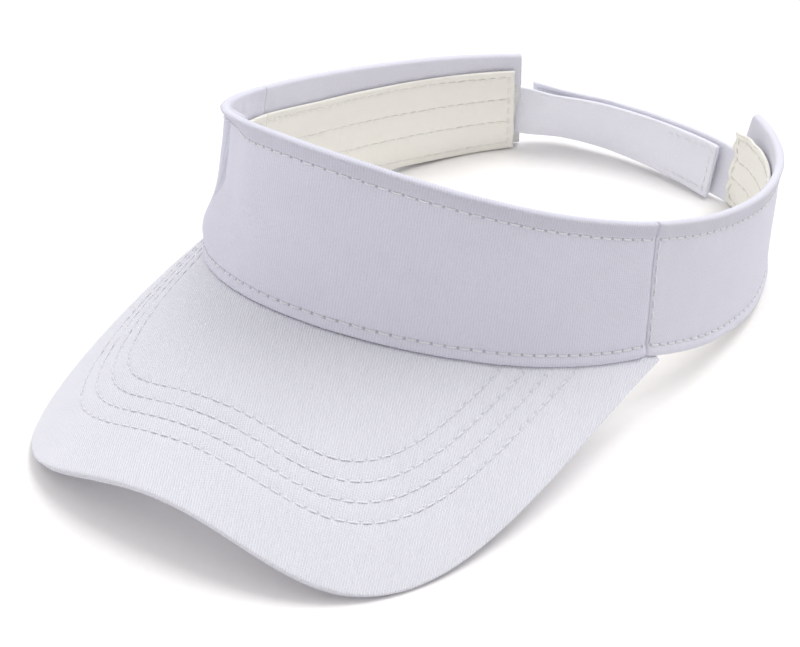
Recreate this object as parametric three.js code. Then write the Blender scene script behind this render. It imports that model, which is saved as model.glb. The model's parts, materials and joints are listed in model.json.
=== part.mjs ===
import * as THREE from 'three';

// A sun visor standing on its peak. Millimetres, +Z up, the peak points along -Y and the
// wearer's left is +X. The visor is drawn round the middle of its head opening; at the end it is
// set on the floor with the origin in the middle of its footprint.
//
// phi is the angle round the head opening: 0 at the forehead, positive towards the wearer's left.

// ---------- driving sizes ----------

// plan of the head opening: a circle squared off by a second harmonic
const OPENING_HALF_WIDTH = 71.75;
const OPENING_SQUARE_X = 4.9;
const OPENING_HALF_LENGTH = 98.3;
const OPENING_SQUARE_Y = 6.2;
const TOP_RAKE = 4.76; // the top edge sits this far towards the wearer's left

// the band
const SEAM = 1.38; // phi of the seams between front and side panels
const LEFT_END = 2.75; // phi where the left side panel ends
const RIGHT_END = -2.56;
const TOP_HEIGHT = 61.9; // mean height of the top edge
const TOP_RISE = 31.2; // how far it climbs towards the forehead and sinks towards the back
const TOP_CROWN = 3.85; // and how far it stands up at both of those
const FLARE = 2.26; // the bottom edge stands out from the top edge by this much on average
const FLARE_FRONT = 1.1; // more at the forehead
const FLARE_ENDS = 1.22; // and less at the forehead and the back than at the sides
const TOP_END_PULL = 0.96; // the top edge of a side panel is this much shorter than the bottom
const SEAM_CLEARANCE = 0.004; // radians each side of a seam, room for the panels to hinge
const FRONT_FACETS = 29; // odd, so that one flat facet lies square across the forehead
const SIDE_FACETS = 13;
const BACK_BOTTOM = 2.9; // height of the bottom edge at the back
const BOTTOM_DIP = 6.7; // how far the side panels' bottom edge sags below a straight line
const BACK_BLEND = 2.56; // phi where the bottom edge comes level

// layers of the band, as offsets from its outer face (outwards is positive)
const CLOTH = 0.7;
const INTERLINING_OUT = -0.85;
const INTERLINING_IN = -1.25;
const HEM_OUT = -1.4;
const SWEATBAND_OUT = -2.3;
const SWEATBAND_IN = -3.7;
const FOLD_RADIUS = (CLOTH - HEM_OUT) / 2;
const HEM_DEPTH = 9; // the cloth is turned over the top edge and runs this far down inside
const HEM_FOLD_STEPS = 3;
const BAND_LIFT = 0.7; // air between the peak and the pieces standing on it
const SWEATBAND_SHARE = 0.79; // share of the band height the sweatband covers
const SWEATBAND_BACK = 1.7; // from this phi on the sweatband grows taller towards the panel's end
const SWEATBAND_GROWTH = 0.085; // gain of that share, per radian
const SWEATBAND_SETBACK = 0.03; // radians the sweatband stops short of a panel end
const TOP_STITCH_DEPTH = 4.6;
const BOTTOM_STITCH_RISE = 3.2;

// the stitching draws the band's outer face in along a flat-bottomed groove
const GROOVE_HALF_WIDTH = 0.5;
const GROOVE_SLOPE = 0.3; // run of the groove's sloping sides
const GROOVE_DEPTH = 0.25;

// thread
const THREAD_WIDTH = 0.7;
const THREAD_HEIGHT = 0.35;
const THREAD_GAP = 0.1;
const SWEATBAND_ROWS = 4;
const SWEATBAND_ROW_MARGIN = 2.5;
const SEAM_STITCH_OFFSET = 0.02; // radians from the seam
const PEAK_ROW_GAP = 0.15; // the rows are laid on long facets, so they stand a little higher

// the peak
const PEAK_HALF_ARC = 88.4; // half width measured along the curved surface
const PEAK_REACH = 129.5; // from the peak's back corners to its front edge
const PEAK_BACK = -20.8;
const PEAK_POWER = 3.35; // superellipse power of the outline
const PEAK_CENTRE_Y = -94; // where the peak leaves the band
const PEAK_CENTRE_Z = 42.1;
const PEAK_SLOPE = 0.382;
const PEAK_SLOPE_CHANGE = 0.00178;
const PEAK_CURL = 0.00692; // how strongly the sides turn down
const PEAK_CURL_CHANGE = 0.00001;
const PEAK_COVER = 0.7;
const PEAK_BOARD = 1.2;
const PEAK_GAP = 0.1;
const PEAK_RIM_INSET = 1.4; // the board stops this far inside the rim
const PEAK_TUCK = -0.3; // the peak runs in under the band's cloth
const PEAK_BACK_TURN = 1.51; // the outline stops here, just ahead of the side panels
const PEAK_SEAM_INSET = 0.025; // radians the peak's back corners stay ahead of the seams
const PEAK_ACROSS_STEPS = 36;
const PEAK_OUT_STEPS = 4;
const ROW_COUNT = 4;
const ROW_INSET_SIDE = 15.6;
const ROW_INSET_FRONT = 14.7;
const ROW_PITCH_SIDE = 5.17;
const ROW_PITCH_FRONT = 4.3;
const ROW_POWER = 3.7;
const ROW_POWER_STEP = 0.12;
const ROW_STEPS = 30;
const ROW_SEARCH_STEP = 0.01;
const ROW_CLEARANCE = 1.5; // a row stops this far short of the band

// the straps: arcs round one upright axis, so that they slide along each other
const STRAP_AXIS_Y = -24.7;
const STRAP_WIDTH = 16.8;
const STRAP_CLOTH = 1.2;
const TAPE = 0.6;
const TAPE_GAP = 0.1;
const TAPE_MARGIN = 1.5;
const TAPE_MEETING_RADIUS = 119.4;
const FASTENER_GAP = 0.5; // between the hook face and the loop face
const STRAP_EASE = 0.25; // radians over which a strap leaves its panel's radius
const STRAP_STEPS = 12;
const STRAP_STITCH_MARGIN = 2;
// angles are from +Y towards the wearer's left; lean is how much further the root's upper corner
// reaches back; shift moves the root inwards, where the strap comes out of its panel
const LEFT_STRAP = { root: 0.24, lean: 0.035, tip: -0.35, rootRise: 4.1, tipRise: 8.4, shift: 0 };
const RIGHT_STRAP = { root: -0.369, lean: 0, tip: 0.22, rootRise: 8.6, tipRise: 4.1, shift: -2.5 };
const HOOK_SPAN = [0.45, 0.98]; // share of the left strap, from root to tip
const LOOP_SPAN = [0.2, 0.98];
const BOX_STITCH_SPAN = [0.72, 0.97];

// the visor stands on its two peak corners and the back of its side panels
const STANCE_TILT = -0.022;

const SHEET_WHITE = { color: 0xe9e9f1, roughness: 0.9, metalness: 0 };
const BAND_WHITE = { color: 0xd6d6e2, roughness: 0.92, metalness: 0 };
const CREAM = { color: 0xefece4, roughness: 0.95, metalness: 0 };
const THREAD_WHITE = { color: 0xf4f4f8, roughness: 0.7, metalness: 0 };
const BOARD_WHITE = { color: 0xf2f2f0, roughness: 0.6, metalness: 0 };
const FELT_GREY = { color: 0xdedee2, roughness: 1, metalness: 0 };

// ---------- small helpers ----------

const part = new THREE.Group();
part.name = 'sun_visor';

function stations(from, to, count) {
  return Array.from({ length: count + 1 }, (_, i) => from + ((to - from) * i) / count);
}

function signedVolume(points, faces) {
  let sum = 0;
  for (const [a, b, c] of faces) {
    sum += points[a].dot(new THREE.Vector3().crossVectors(points[b], points[c]));
  }
  return sum / 6;
}

// a closed solid between two grids of points of the same shape
function shell(front, back) {
  const rows = front.length;
  const columns = front[0].length;
  const points = [...front.flat(), ...back.flat()];
  const faces = [];
  const at = (side, i, j) => side * rows * columns + i * columns + j;
  const quad = (a, b, c, d) => faces.push([a, b, c], [a, c, d]);
  for (let i = 0; i + 1 < rows; i += 1) {
    for (let j = 0; j + 1 < columns; j += 1) {
      quad(at(0, i, j), at(0, i + 1, j), at(0, i + 1, j + 1), at(0, i, j + 1));
      quad(at(1, i, j), at(1, i, j + 1), at(1, i + 1, j + 1), at(1, i + 1, j));
    }
    quad(at(0, i, 0), at(1, i, 0), at(1, i + 1, 0), at(0, i + 1, 0));
    quad(at(0, i, columns - 1), at(0, i + 1, columns - 1), at(1, i + 1, columns - 1), at(1, i, columns - 1));
  }
  for (let j = 0; j + 1 < columns; j += 1) {
    quad(at(0, 0, j), at(0, 0, j + 1), at(1, 0, j + 1), at(1, 0, j));
    quad(at(0, rows - 1, j), at(1, rows - 1, j), at(1, rows - 1, j + 1), at(0, rows - 1, j + 1));
  }
  const outward = signedVolume(points, faces) > 0 ? faces : faces.map(([a, b, c]) => [a, c, b]);
  const geometry = new THREE.BufferGeometry();
  geometry.setAttribute('position', new THREE.Float32BufferAttribute(points.flatMap((p) => p.toArray()), 3));
  geometry.setIndex(outward.flat());
  geometry.computeVertexNormals();
  return geometry;
}

function add(name, geometry, finish) {
  const mesh = new THREE.Mesh(geometry, new THREE.MeshStandardMaterial(finish));
  mesh.name = name;
  part.add(mesh);
}

// ---------- the peak's surface ----------

function peakCurl(y) {
  return PEAK_CURL + PEAK_CURL_CHANGE * (y - PEAK_CENTRE_Y);
}

const NEWTON_STEPS = 8;
const SLOPE_REACH = 0.5; // half the distance a slope is measured over

function peakHeight(x, y) {
  const out = y - PEAK_CENTRE_Y;
  return PEAK_CENTRE_Z + PEAK_SLOPE * out - PEAK_SLOPE_CHANGE * out * out - peakCurl(y) * x * x;
}

// x at a distance along the parabola z = -curl x^2, by Newton's method
function acrossPeak(arc, y) {
  const curl = peakCurl(y);
  let x = arc;
  for (let i = 0; i < NEWTON_STEPS; i += 1) {
    const slope = 2 * curl * x;
    const length = (x / 2) * Math.hypot(1, slope) + Math.asinh(slope) / (4 * curl);
    x -= (length - arc) / Math.hypot(1, slope);
  }
  return x;
}

// a superellipse laid on the peak's surface; turn runs from -90 to 90 degrees, 0 is the front
function onOutline(turn, halfArc, reach, power) {
  const reciprocal = (Math.abs(Math.sin(turn)) / halfArc) ** power + (Math.cos(turn) / reach) ** power;
  const radius = reciprocal ** (-1 / power);
  const y = PEAK_BACK - radius * Math.cos(turn);
  return new THREE.Vector2(acrossPeak(radius * Math.sin(turn), y), y);
}

function peakNormal(x, y) {
  const slopeX = (peakHeight(x + SLOPE_REACH, y) - peakHeight(x - SLOPE_REACH, y)) / (2 * SLOPE_REACH);
  const slopeY = (peakHeight(x, y + SLOPE_REACH) - peakHeight(x, y - SLOPE_REACH)) / (2 * SLOPE_REACH);
  return new THREE.Vector3(-slopeX, -slopeY, 1).normalize();
}

function onPeak(plan, above) {
  const point = new THREE.Vector3(plan.x, plan.y, peakHeight(plan.x, plan.y));
  return point.addScaledVector(peakNormal(plan.x, plan.y), above);
}

// ---------- the band's surface ----------

function openingPlan(phi) {
  const x = OPENING_HALF_WIDTH * Math.sin(phi) - OPENING_SQUARE_X * Math.sin(2 * phi);
  const y = -OPENING_HALF_LENGTH * Math.cos(phi) + OPENING_SQUARE_Y * Math.cos(2 * phi);
  return new THREE.Vector2(x, y);
}

function outwards(phi) {
  const dx = OPENING_HALF_WIDTH * Math.cos(phi) - 2 * OPENING_SQUARE_X * Math.cos(2 * phi);
  const dy = OPENING_HALF_LENGTH * Math.sin(phi) - 2 * OPENING_SQUARE_Y * Math.sin(2 * phi);
  return new THREE.Vector2(dy, -dx).normalize();
}

function topEdge(phi) {
  const beyond = Math.max(0, Math.abs(phi) - SEAM);
  const pulled = Math.sign(phi) * (Math.abs(phi) - beyond * (1 - TOP_END_PULL));
  const plan = openingPlan(pulled);
  const height = TOP_HEIGHT + TOP_RISE * Math.cos(pulled) + TOP_CROWN * Math.cos(2 * pulled);
  return new THREE.Vector3(plan.x + TOP_RAKE, plan.y, height);
}

function bottomPlan(phi) {
  const flare = FLARE + FLARE_FRONT * Math.cos(phi) - FLARE_ENDS * Math.cos(2 * phi);
  return openingPlan(phi).addScaledVector(outwards(phi), flare);
}

function bottomEdge(phi) {
  const plan = bottomPlan(phi);
  const seam = bottomPlan(SEAM);
  const share = Math.min(1, (Math.abs(phi) - SEAM) / (BACK_BLEND - SEAM));
  const seamHeight = peakHeight(seam.x, seam.y);
  const sideHeight = seamHeight + (BACK_BOTTOM - seamHeight) * share - 4 * BOTTOM_DIP * share * (1 - share);
  return new THREE.Vector3(plan.x, plan.y, share > 0 ? sideHeight : peakHeight(plan.x, plan.y));
}

function bandHeight(phi) {
  return topEdge(phi).distanceTo(bottomEdge(phi));
}

// the point a given distance up the band and out from its outer face
function onBand(phi, rise, out) {
  const side = outwards(phi).multiplyScalar(out);
  const point = bottomEdge(phi).lerp(topEdge(phi), rise / bandHeight(phi));
  return point.add(new THREE.Vector3(side.x, side.y, 0));
}

// a flat strip running round the band between two rises and two offsets
function bandStrip(phis, lowRise, highRise, outer, inner) {
  const grid = (out) => phis.map((phi) => [onBand(phi, lowRise(phi), out), onBand(phi, highRise(phi), out)]);
  return shell(grid(outer), grid(inner));
}

function bandThread(phis, rise, face, facing) {
  const low = (phi) => rise(phi) - THREAD_WIDTH / 2;
  const high = (phi) => rise(phi) + THREAD_WIDTH / 2;
  const near = face + facing * THREAD_GAP;
  return bandStrip(phis, low, high, near + facing * THREAD_HEIGHT, near);
}

// ---------- band pieces ----------

function topRowRise(phi) {
  return bandHeight(phi) - TOP_STITCH_DEPTH;
}

// the turning points of the grooves under both stitch rows, as [rise, depth] pairs going up
function grooveProfile(phi) {
  return [BOTTOM_STITCH_RISE, topRowRise(phi)].flatMap((rise) => [
    [rise - GROOVE_HALF_WIDTH - GROOVE_SLOPE, 0],
    [rise - GROOVE_HALF_WIDTH, GROOVE_DEPTH],
    [rise + GROOVE_HALF_WIDTH, GROOVE_DEPTH],
    [rise + GROOVE_HALF_WIDTH + GROOVE_SLOPE, 0],
  ]);
}

// panel cloth: up the outside, over the top in a round fold and down inside as a hem
function panelCloth(phis) {
  const skin = (radius, grooved) => phis.map((phi) => {
    const foldRise = bandHeight(phi) - FOLD_RADIUS;
    const face = radius - FOLD_RADIUS;
    const column = [onBand(phi, BAND_LIFT, face)];
    for (const [rise, depth] of grooveProfile(phi)) {
      column.push(onBand(phi, rise, grooved ? face - depth : face));
    }
    for (let i = 0; i <= HEM_FOLD_STEPS; i += 1) {
      const turn = (Math.PI * i) / HEM_FOLD_STEPS;
      const out = radius * Math.cos(turn) - FOLD_RADIUS;
      column.push(onBand(phi, foldRise + radius * Math.sin(turn), out));
    }
    column.push(onBand(phi, foldRise - HEM_DEPTH, -radius - FOLD_RADIUS));
    return column;
  });
  return shell(skin(FOLD_RADIUS, true), skin(FOLD_RADIUS - CLOTH, false));
}

function interlining(phis) {
  const top = (phi) => bandHeight(phi) - 2 * CLOTH;
  return bandStrip(phis, () => BAND_LIFT, top, INTERLINING_OUT, INTERLINING_IN);
}

function sweatbandTop(phi) {
  const growth = SWEATBAND_GROWTH * Math.max(0, Math.abs(phi) - SWEATBAND_BACK);
  return (SWEATBAND_SHARE + growth) * bandHeight(phi);
}

function sweatband(phis) {
  return bandStrip(phis, () => BAND_LIFT, sweatbandTop, SWEATBAND_OUT, SWEATBAND_IN);
}

function sweatbandRow(phis, row) {
  const share = row / (SWEATBAND_ROWS - 1);
  const rise = (phi) => {
    const lowest = BAND_LIFT + SWEATBAND_ROW_MARGIN;
    return lowest + share * (sweatbandTop(phi) - SWEATBAND_ROW_MARGIN - lowest);
  };
  return bandThread(phis, rise, SWEATBAND_IN, -1);
}

// the upright row that holds a side panel to the front panel
function seamThread(side) {
  const near = side * (SEAM + SEAM_STITCH_OFFSET);
  const far = near + (side * THREAD_WIDTH) / OPENING_HALF_LENGTH;
  const low = () => BOTTOM_STITCH_RISE + THREAD_WIDTH;
  const high = (phi) => topRowRise(phi) - THREAD_WIDTH;
  return bandStrip([near, far], low, high, 2 * THREAD_GAP + THREAD_HEIGHT, 2 * THREAD_GAP);
}

function addBandSection(side, from, to, facets, sweatbandEnd) {
  const phis = stations(from, to, facets);
  const lining = stations(from, sweatbandEnd, facets);
  add(`${side}_panel`, panelCloth(phis), BAND_WHITE);
  add(`${side}_interlining`, interlining(phis), FELT_GREY);
  add(`${side}_sweatband`, sweatband(lining), CREAM);
  add(`${side}_top_stitch`, bandThread(phis, topRowRise, -GROOVE_DEPTH, 1), THREAD_WHITE);
  add(`${side}_bottom_stitch`, bandThread(phis, () => BOTTOM_STITCH_RISE, -GROOVE_DEPTH, 1), THREAD_WHITE);
  for (let row = 0; row < SWEATBAND_ROWS; row += 1) {
    add(`${side}_sweatband_stitch_${row + 1}`, sweatbandRow(lining, row), THREAD_WHITE);
  }
}

// ---------- peak pieces ----------

// rows run outwards from the band to the rim; each column is one place round the peak
function peakGrid(above, rimInset, extra) {
  return stations(-1, 1, PEAK_ACROSS_STEPS).map((across) => {
    const phi = across * (SEAM - PEAK_SEAM_INSET);
    const start = bottomPlan(phi).addScaledVector(outwards(phi), PEAK_TUCK);
    const rim = (inset) => onOutline(
      across * PEAK_BACK_TURN,
      PEAK_HALF_ARC - inset,
      PEAK_REACH - inset,
      PEAK_POWER,
    );
    const end = rim(rimInset);
    const shares = stations(0, 1, PEAK_OUT_STEPS);
    const column = shares.map((share) => onPeak(start.clone().lerp(end, share), above));
    return [...column, ...extra.map(([inset, height]) => onPeak(rim(inset), height))];
  });
}

function addPeak() {
  const boardTop = -PEAK_COVER - PEAK_GAP;
  const boardBottom = boardTop - PEAK_BOARD;
  const underTop = boardBottom - PEAK_GAP;
  const lip = PEAK_COVER / 2;
  // the top cover turns down over the rim and stops level with the board's underside
  const outside = peakGrid(0, lip, [[0, -lip], [0, boardBottom]]);
  const insideRim = [[PEAK_COVER, -PEAK_COVER - lip], [PEAK_COVER, boardBottom]];
  const inside = peakGrid(-PEAK_COVER, PEAK_COVER, insideRim);
  add('peak_top_cover', shell(outside, inside), SHEET_WHITE);
  const board = (above) => peakGrid(above, PEAK_RIM_INSET, []);
  add('peak_stiffener', shell(board(boardTop), board(boardBottom)), BOARD_WHITE);
  const under = (above) => peakGrid(above, PEAK_GAP, []);
  add('peak_under_cover', shell(under(underTop), under(underTop - PEAK_COVER)), SHEET_WHITE);
}

function peakRowPoint(row, turn, widen) {
  return onOutline(
    turn,
    PEAK_HALF_ARC - ROW_INSET_SIDE - row * ROW_PITCH_SIDE + widen,
    PEAK_REACH - ROW_INSET_FRONT - row * ROW_PITCH_FRONT + widen,
    ROW_POWER + ROW_POWER_STEP * row,
  );
}

// horizontal distance from a place on the peak to the band's bottom edge
function gapToBand(plan) {
  return Math.min(...stations(0, SEAM, FRONT_FACETS).map((phi) => {
    const edge = bottomPlan(phi);
    return plan.clone().sub(edge).dot(outwards(phi)) + Math.abs(plan.clone().sub(edge).cross(outwards(phi)));
  }));
}

function peakRowEnd(row) {
  let turn = 0;
  while (turn < PEAK_BACK_TURN && gapToBand(peakRowPoint(row, turn, 0)) > ROW_CLEARANCE) {
    turn += ROW_SEARCH_STEP;
  }
  return turn;
}

function peakRow(row) {
  const end = peakRowEnd(row);
  const grid = (above) => stations(-end, end, ROW_STEPS).map((turn) => [
    onPeak(peakRowPoint(row, turn, THREAD_WIDTH / 2), above),
    onPeak(peakRowPoint(row, turn, -THREAD_WIDTH / 2), above),
  ]);
  return shell(grid(PEAK_ROW_GAP + THREAD_HEIGHT), grid(PEAK_ROW_GAP));
}

// ---------- straps ----------

// a strap point: share runs from root to tip, rise goes up the strap, radius is from the axis
function onStrap(strap, share, rise, radius) {
  const root = strap.root + (strap.lean * rise) / STRAP_WIDTH;
  const angle = root + (strap.tip - root) * share;
  const eased = Math.max(0, 1 - Math.abs(angle - root) / STRAP_EASE);
  const r = radius + strap.shift * eased * eased * (3 - 2 * eased);
  const base = strap.rootRise + (strap.tipRise - strap.rootRise) * share;
  return new THREE.Vector3(r * Math.sin(angle), STRAP_AXIS_Y + r * Math.cos(angle), base + rise);
}

function strapStrip(strap, [from, to], low, high, outer, inner) {
  const grid = (radius) => stations(from, to, STRAP_STEPS).map((share) => [
    onStrap(strap, share, low, radius),
    onStrap(strap, share, high, radius),
  ]);
  return shell(grid(outer), grid(inner));
}

// a thread along the lower edge, up across the tip and back along the upper edge
function strapStitch(strap, [from, to], near, far) {
  const length = Math.abs(strap.tip - strap.root) * TAPE_MEETING_RADIUS;
  const path = (inset) => {
    const end = to - inset / length;
    const low = STRAP_STITCH_MARGIN + inset;
    const high = STRAP_WIDTH - low;
    const out = stations(from, end, STRAP_STEPS);
    return [...out.map((share) => [share, low]), ...out.reverse().map((share) => [share, high])];
  };
  const outerPath = path(0);
  const innerPath = path(THREAD_WIDTH);
  const grid = (radius) => outerPath.map(([share, rise], i) => [
    onStrap(strap, share, rise, radius),
    onStrap(strap, innerPath[i][0], innerPath[i][1], radius),
  ]);
  return shell(grid(near), grid(far));
}

function addStraps() {
  const loopFace = TAPE_MEETING_RADIUS - FASTENER_GAP / 2;
  const hookFace = TAPE_MEETING_RADIUS + FASTENER_GAP / 2;
  const rightOut = loopFace - TAPE - TAPE_GAP;
  const rightIn = rightOut - STRAP_CLOTH;
  const leftIn = hookFace + TAPE + TAPE_GAP;
  const leftOut = leftIn + STRAP_CLOTH;
  const whole = [0, 1];
  const tapeLow = TAPE_MARGIN;
  const tapeHigh = STRAP_WIDTH - TAPE_MARGIN;
  add('right_strap', strapStrip(RIGHT_STRAP, whole, 0, STRAP_WIDTH, rightOut, rightIn), BAND_WHITE);
  const loop = strapStrip(RIGHT_STRAP, LOOP_SPAN, tapeLow, tapeHigh, loopFace, loopFace - TAPE);
  add('loop_tape', loop, FELT_GREY);
  const rightStitchNear = rightIn - THREAD_GAP;
  add(
    'right_strap_stitch',
    strapStitch(RIGHT_STRAP, BOX_STITCH_SPAN, rightStitchNear, rightStitchNear - THREAD_HEIGHT),
    THREAD_WHITE,
  );
  add('left_strap', strapStrip(LEFT_STRAP, whole, 0, STRAP_WIDTH, leftOut, leftIn), BAND_WHITE);
  const hook = strapStrip(LEFT_STRAP, HOOK_SPAN, tapeLow, tapeHigh, hookFace + TAPE, hookFace);
  add('hook_tape', hook, FELT_GREY);
  const leftStitchNear = leftOut + THREAD_GAP;
  add(
    'left_strap_stitch',
    strapStitch(LEFT_STRAP, HOOK_SPAN, leftStitchNear + THREAD_HEIGHT, leftStitchNear),
    THREAD_WHITE,
  );
}

// ---------- assembly ----------

addPeak();
for (let row = 0; row < ROW_COUNT; row += 1) {
  add(`peak_stitch_row_${row + 1}`, peakRow(row), THREAD_WHITE);
}
const seamEdge = SEAM - SEAM_CLEARANCE;
addBandSection('front', -seamEdge, seamEdge, FRONT_FACETS, seamEdge);
const sideStart = SEAM + SEAM_CLEARANCE;
addBandSection('left', sideStart, LEFT_END, SIDE_FACETS, LEFT_END - SWEATBAND_SETBACK);
addBandSection('right', -sideStart, RIGHT_END, SIDE_FACETS, RIGHT_END + SWEATBAND_SETBACK);
add('left_seam_stitch', seamThread(1), THREAD_WHITE);
add('right_seam_stitch', seamThread(-1), THREAD_WHITE);
addStraps();

// stand the visor on the floor, with the origin in the middle of its footprint
const stance = new THREE.Matrix4().makeRotationX(STANCE_TILT);
part.children.forEach((mesh) => mesh.geometry.applyMatrix4(stance));
const box = new THREE.Box3().setFromObject(part);
const middle = box.getCenter(new THREE.Vector3());
part.children.forEach((mesh) => mesh.geometry.translate(-middle.x, -middle.y, -box.min.z));

export default part;
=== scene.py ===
import json
import math

import bpy
import numpy as np
from mathutils import Matrix, Vector


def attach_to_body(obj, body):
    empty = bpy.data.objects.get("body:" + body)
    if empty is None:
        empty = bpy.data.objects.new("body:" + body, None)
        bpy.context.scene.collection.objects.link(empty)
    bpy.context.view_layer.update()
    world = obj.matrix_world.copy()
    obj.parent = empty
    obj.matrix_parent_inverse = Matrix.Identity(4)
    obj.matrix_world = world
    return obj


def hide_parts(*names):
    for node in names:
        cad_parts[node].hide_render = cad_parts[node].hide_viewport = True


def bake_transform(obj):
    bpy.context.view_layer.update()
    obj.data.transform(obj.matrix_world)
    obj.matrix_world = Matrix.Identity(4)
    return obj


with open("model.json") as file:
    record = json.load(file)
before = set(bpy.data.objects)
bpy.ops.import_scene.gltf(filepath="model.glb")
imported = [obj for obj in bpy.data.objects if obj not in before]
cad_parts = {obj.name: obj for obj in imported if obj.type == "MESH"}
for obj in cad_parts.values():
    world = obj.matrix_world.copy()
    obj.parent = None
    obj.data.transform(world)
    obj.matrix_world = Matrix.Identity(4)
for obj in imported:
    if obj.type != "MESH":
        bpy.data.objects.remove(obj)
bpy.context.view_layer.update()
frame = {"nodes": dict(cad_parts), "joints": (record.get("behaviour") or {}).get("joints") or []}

# The looks of a sun visor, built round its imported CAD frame.
#
# Shapes are worked out in the visor's own upright frame, in millimetres, from driving sizes that
# are the CAD's or within about a millimetre of them; place() then stands them on the floor in the
# row frame, in metres.
# phi is the angle round the head opening: 0 at the forehead, positive towards the wearer's left.

MM = 0.001
rng = np.random.default_rng(7)

# ---------- driving sizes, millimetres ----------

OPENING_HALF_WIDTH, OPENING_SQUARE_X = 71.75, 4.9
OPENING_HALF_LENGTH, OPENING_SQUARE_Y = 98.3, 6.2
TOP_RAKE = 4.76
TOP_HEIGHT, TOP_RISE, TOP_CROWN = 61.7, 30.5, 3.85
FLARE, FLARE_FRONT, FLARE_ENDS = 2.26, 1.1, 1.22  # how far the bottom edge stands outside the opening
SEAM = 1.38
LEFT_END, RIGHT_END = 2.75, -2.56
TOP_END_PULL = 0.96
BACK_BOTTOM, BOTTOM_DIP, BACK_BLEND = 2.9, 6.7, 2.56
BAND_LIFT = 0.95  # the cloth's bottom edge all but touches the peak
SEAM_CREVICE = 0.0012  # radians between a seam and the cloth each side of it
SEAM_STITCH_OFFSET = 0.012  # radians from a seam to the stitches beside it

# how the band is bent out of its ruled shape: depths in millimetres, places in radians
WAIST_DEPTH, WAIST_POWER = 0.3, 0.6
SIDE_DRAW, SIDE_DRAW_AT, SIDE_DRAW_WIDTH = 0.75, -1.02, 0.22
FOLD_SHARES = ((0.34, 0.54), (0.9, 1.0))  # shares of the height where the crease fades in and out
LEAD_DEPTH, LEAD_FROM, LEAD_TO = 1.2, -0.97, -0.86
STEP_DEPTH, STEP_FROM, STEP_TO = 1.7, -0.862, -0.835
RECOVER_FROM, RECOVER_TO = -0.62, -0.3
CREASE_DEPTH, CREASE_AT, CREASE_WIDTH = 2.3, -0.828, 0.015
BULGE_DEPTH, BULGE_AT, BULGE_WIDTH = 1.9, -0.84, 0.24
BULGE_SHARE, BULGE_SPREAD = 0.22, 0.12

CLOTH = 0.7
HEM_OUT = -1.4
FOLD_RADIUS = (CLOTH - HEM_OUT) / 2
HEM_DEPTH = 10.0
INTERLINING_OUT, INTERLINING_IN = -0.85, -1.25
SWEATBAND_OUT, SWEATBAND_IN = -2.3, -3.7
SWEATBAND_SHARE = 0.79
SWEATBAND_BACK, SWEATBAND_GROWTH = 1.7, 0.085
SWEATBAND_SETBACK = 0.03
SWEATBAND_ROWS = 4
SWEATBAND_ROW_MARGIN = 2.5
SWEATBAND_FACE = SWEATBAND_IN + 0.35  # the inner face before it is padded
SWEATBAND_ROUND = 0.7
SWEATBAND_END_MARGIN = 1.5
TOP_STITCH_DEPTH = 5.4
HEM_FLARE = 0.8  # the hem stands out over the top stitch row
BOTTOM_STITCH_RISE = 4.1
ROW_DRAW, ROW_DRAW_WIDTH = 0.2, 0.9  # how stitches draw the cloth in
FOOT_ROLL, FOOT_ROLL_WIDTH = 0.55, 1.4  # the fold below the bottom row
SEAM_DRAW, SEAM_DRAW_WIDTH = 0.4, 0.8
STITCH_PITCH = 3.7
THREAD_RADIUS = 0.26
THREAD_FLATNESS = 0.6  # pulled flat against the cloth
STITCH_HALF_SHARE = 0.455  # half a stitch's length, as a share of the pitch
CLEAR = 99  # a distance to the nearest stitch row that means there is none

PEAK_HALF_ARC, PEAK_REACH, PEAK_BACK, PEAK_POWER = 88.1, 129.5, -20.8, 3.5
PEAK_CENTRE_Y, PEAK_CENTRE_Z = -94.0, 42.1
PEAK_SLOPE, PEAK_SLOPE_CHANGE = 0.382, 0.00178
PEAK_CURL, PEAK_CURL_CHANGE = 0.00692, 0.00001
PEAK_BACK_TURN = 1.565
PEAK_PAST_SEAM = 0.045
PEAK_THICKNESS = 2.9
PEAK_TUCK = 1.0  # the peak runs this far in under the band
PEAK_STITCH_SINK = 0.1
PEAK_ROW_DRAW = 0.16
PEAK_FOOT_SINK = 1.2  # how much further the peak's back edge drops where the band does
NEWTON_STEPS = 8
SLOPE_REACH = 0.5
ROW_COUNT = 4
ROW_INSET_SIDE, ROW_INSET_FRONT = 15.6, 14.7
ROW_PITCH_SIDE, ROW_PITCH_FRONT = 5.17, 4.3
ROW_POWER, ROW_POWER_STEP = 3.7, 0.12

STRAP_AXIS_Y = -24.7
STRAP_WIDTH = 16.8
STRAP_CLOTH = 1.2
STRAP_ROUND = 0.45
TAPE = 0.6
MEETING_RADIUS = 119.4
FASTENER_GAP = 0.5
TAPE_MARGIN = 1.5
STRAP_STITCH_MARGIN = 2.2
STRAP_STITCH_PITCH = 3.1
STRAP_EASE = 0.25
RIGHT_LEAN, LEFT_LEAN = -5.6, 5.4  # how far the straps' tops lean out where each leaves its panel
ROOT_TUCK = {"left": -0.063, "right": -0.09}  # share past the panel's end; it still crosses the cloth
LEFT_STRAP = {"root": 0.24, "lean": 0.035, "tip": -0.35, "root_rise": 4.1, "tip_rise": 8.4, "shift": 0.0}
RIGHT_STRAP = {"root": -0.369, "lean": 0.0, "tip": 0.22, "root_rise": 8.6, "tip_rise": 4.1, "shift": -2.5}

# ---------- the stance: visor frame to row frame ----------

STANCE_TILT = -0.022
HINGE = np.array([73.5, STRAP_AXIS_Y, 0.0])  # the left side's hinge in the visor frame
stance = np.array(Matrix.Rotation(STANCE_TILT, 3, "X"))
left_hinge = next(j for j in frame["joints"] if j["name"] == "left_side_flex")
home = np.array(left_hinge["pos_m"]) - stance @ HINGE * MM


def lengths_along(points):
    """The distance along a path to each of its points."""
    steps = np.linalg.norm(np.diff(points, axis=0), axis=1)
    return np.concatenate([[0], np.cumsum(steps)])


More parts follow.
